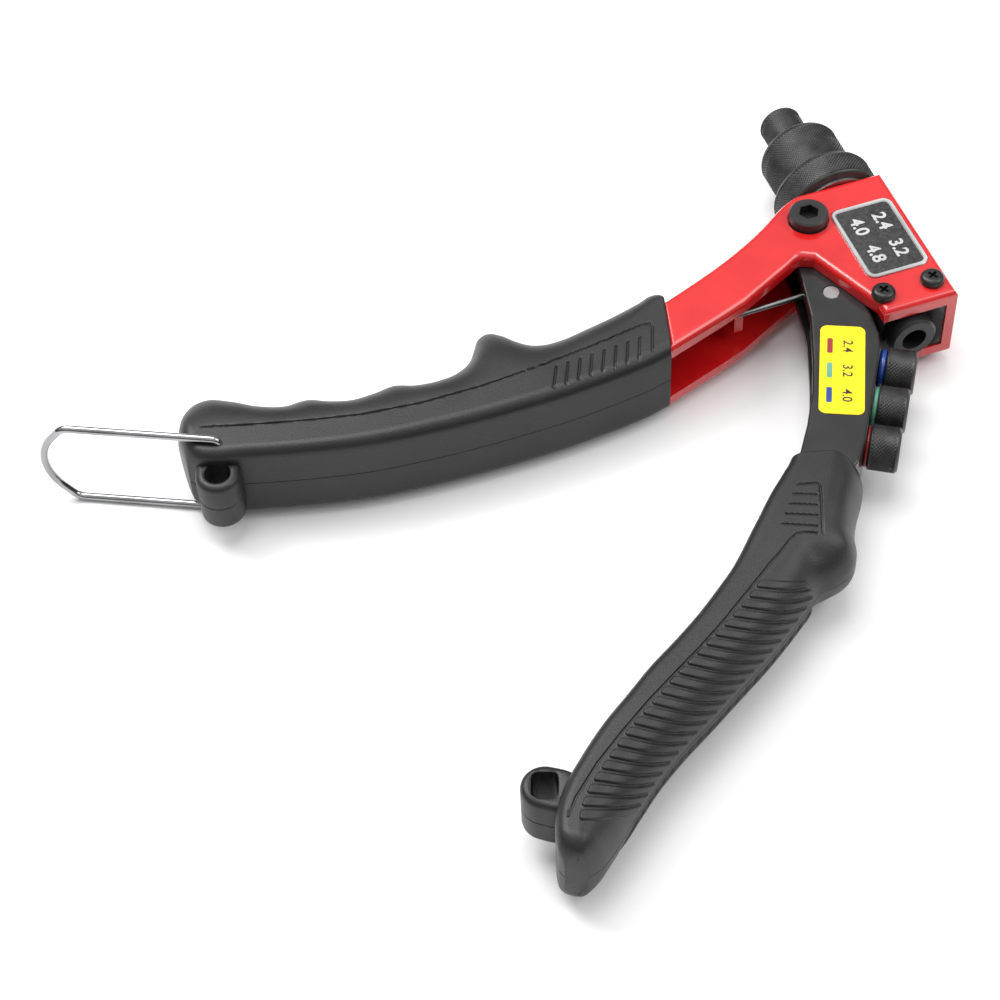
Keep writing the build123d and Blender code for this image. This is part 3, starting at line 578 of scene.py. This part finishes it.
def flat_text(name, text, size, at, angle, height, weight, material, body):
    """Thin raised lettering, centred on a point; the angle is in degrees and weight thickens the strokes."""
    curve = bpy.data.curves.new(name, "FONT")
    curve.body = text
    curve.size = size * MM
    curve.extrude = 0.03 * MM
    curve.offset = weight * MM
    curve.align_x = "CENTER"
    curve.align_y = "CENTER"
    piece = bpy.data.objects.new(name, curve)
    piece.location = (at[0] * MM, at[1] * MM, height * MM)
    piece.rotation_euler = (0, 0, radians(angle))
    scene.collection.objects.link(piece)
    curve.materials.append(material)
    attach(piece, body)


for text, x in (("2.4   3.2", 5.6), ("4.0   4.8", -2.6)):
    flat_text("label_sizes_" + text[0], text, 6.4, (x, -77.7), -90, 14.86, 0.16, label_marks, "body")

# ---- sticker on the lever with a generic size key ------------------------------------------------------
STICKER_CENTRE = Vector((-31.2, -122.4, 0))
STICKER_ALONG = Vector((-0.42, -0.907, 0)).normalized()
STICKER_ACROSS = Vector((-STICKER_ALONG.y, STICKER_ALONG.x, 0))


def sticker_patch(name, u0, u1, v0, v1, radius, low, top, material, replaced=()):
    """Thin rounded patch on the lever's face, u along the lever and v across it."""
    loop = rounded_rectangle(u0, u1, v0, v1, radius)
    points = []
    for z, inset in ((low, 0.0), (top - 0.04, 0.0), (top, 0.06)):
        for u, v in loop:
            shrink = 1 - inset / max(abs(u1 - u0), abs(v1 - v0))
            u, v = (u0 + u1) / 2 + (u - (u0 + u1) / 2) * shrink, (v0 + v1) / 2 + (v - (v0 + v1) / 2) * shrink
            at = STICKER_CENTRE + STICKER_ALONG * u + STICKER_ACROSS * v
            points.append((at.x, at.y, z))
    count = len(loop)
    faces = grid_faces(3, count, close_columns=True)
    faces.append(tuple(range(count)))
    faces.append(tuple(2 * count + k for k in range(count)))
    make_piece(name, points, faces, material, "lever", replaced, sharp=35)


sticker_patch("sticker_sheet", -18.8, 18.8, -7.2, 7.2, 2.4, 9.0, 9.18, sticker_yellow, ["lever_sticker"])
STICKER_ANGLE = -114.8
for number, (text, colour) in enumerate((("2.4", "red"), ("3.2", "green"), ("4.0", "blue"))):
    u = -10 + 10.5 * number
    at = STICKER_CENTRE + STICKER_ALONG * u + STICKER_ACROSS * 1.6
    flat_text(f"sticker_size_{number}", text, 4.4, at, STICKER_ANGLE, 9.2, 0.05, sticker_ink, "lever")
    sticker_patch(f"sticker_key_{number}", u - 3.2, u + 3.2, -4.9, -3.1, 0.5, 9.17, 9.21, ring_colours[colour])


# ---- locking bail ---------------------------------------------------------------------------------------
def rounded_path(corners, radii):
    """Straight runs joined by arcs of the given radii at the inner corners."""
    corners = [Vector(c) for c in corners]
    path = [corners[0]]
    for before, corner, after, radius in zip(corners, corners[1:], corners[2:], radii):
        to_before, to_after = (before - corner).normalized(), (after - corner).normalized()
        turn = to_before.angle(to_after)
        centre = corner + (to_before + to_after).normalized() * radius / sin(turn / 2)
        start = corner + to_before * radius / np.tan(turn / 2) - centre
        end = corner + to_after * radius / np.tan(turn / 2) - centre
        for k in range(13):
            path.append(centre + start.lerp(end, k / 12).normalized() * radius)
    path.append(corners[-1])
    return path


reach = Vector((cos(BAIL_ANGLE), sin(BAIL_ANGLE), 0))
up = Vector((0, 0, 1))
bail_corners = [BAIL_PIVOT + up * BAIL_END, BAIL_PIVOT + up * BAIL_HALF,
                BAIL_PIVOT + reach * BAIL_LENGTH + up * BAIL_HALF,
                BAIL_PIVOT + reach * (BAIL_LENGTH + BAIL_BOW),
                BAIL_PIVOT + reach * BAIL_LENGTH - up * BAIL_HALF, BAIL_PIVOT - up * BAIL_HALF,
                BAIL_PIVOT - up * BAIL_END]
tube("bail_wire", rounded_path(bail_corners, (2.2, 5.0, 18.5, 5.0, 2.2)), BAIL_WIRE_R, chrome, "bail",
     ["bail"], sides=24)

# ---- return spring: coil round its pin, long leg to the arm and a short leg; one rigid wire on no body ----
coil = [SPRING_PIN + Vector((COIL_R * cos(a), COIL_R * sin(a), COIL_HALF * (2 * a / (COIL_TURNS * tau) - 1)))
        for a in np.linspace(0, COIL_TURNS * tau, 170)]
leg_end = coil[-1] + Vector((-31, -0.6, 0))
short_end = coil[0] + Vector((0, -8, 0))
leg = [coil[-1].lerp(leg_end, k / 30) for k in range(1, 31)]
spring = tube("torsion_spring", [short_end] + coil + leg, WIRE_R, spring_steel, None,
              ["return_spring"], sides=14)
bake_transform(spring)

# ---- floor, light and camera -------------------------------------------------------------------------------
floor_z = cad_box[0][2]
mesh = bpy.data.meshes.new("floor")
mesh.from_pydata([(-3, -3, floor_z), (3, -3, floor_z), (3, 3, floor_z), (-3, 3, floor_z)], [], [(0, 1, 2, 3)])
floor = bpy.data.objects.new("floor", mesh)
scene.collection.objects.link(floor)
mesh.materials.append(make_material("pale_floor", (0.86, 0.86, 0.86), (0.9, 0.9, 0.9), 0.6, patch=3,
                                    grain_strength=0.02))

world = bpy.data.worlds.new("studio")
world.use_nodes = True
sky_nodes, sky_link = world.node_tree.nodes, world.node_tree.links.new
sky_place = sky_nodes.new("ShaderNodeTexCoord")
sky_split = sky_nodes.new("ShaderNodeSeparateXYZ")
sky_ramp = sky_nodes.new("ShaderNodeValToRGB")
sky_ramp.color_ramp.elements[0].position = 0.1
sky_ramp.color_ramp.elements[0].color = (0.06, 0.06, 0.065, 1)
sky_ramp.color_ramp.elements[1].position = 0.85
sky_ramp.color_ramp.elements[1].color = (1, 1, 1, 1)
sky_link(sky_place.outputs["Generated"], sky_split.inputs["Vector"])
sky_link(sky_split.outputs["Z"], sky_ramp.inputs["Fac"])
sky_link(sky_ramp.outputs["Color"], sky_nodes["Background"].inputs["Color"])
sky_nodes["Background"].inputs["Strength"].default_value = 0.85
scene.world = world


def area_light(name, location, target, size, power):
    """Square soft light aimed at a point, in metres and watts."""
    data = bpy.data.lights.new(name, "AREA")
    data.size = size
    data.energy = power
    light = bpy.data.objects.new(name, data)
    light.location = location
    light.rotation_euler = (Vector(target) - Vector(location)).to_track_quat("-Z", "Y").to_euler()
    scene.collection.objects.link(light)


middle = (-0.12, -0.13, 0)
area_light("key", (-0.5, 0.5, 0.9), middle, 0.6, 9)
area_light("fill", (0.7, -0.4, 0.8), middle, 0.7, 5)
area_light("top", (-0.1, 0.1, 1.2), middle, 0.7, 7)

camera_data = bpy.data.cameras.new("camera")
camera_data.lens = 86.4
camera_data.sensor_width = 36
camera = bpy.data.objects.new("camera", camera_data)
camera.matrix_world = Matrix(((0.94442, 0.27549, -0.17940, -0.2824), (-0.32687, 0.72869, -0.60179, -0.5765),
                              (-0.03505, 0.62698, 0.77824, 0.581), (0, 0, 0, 1)))
scene.collection.objects.link(camera)
scene.camera = camera

bpy.context.view_layer.update()
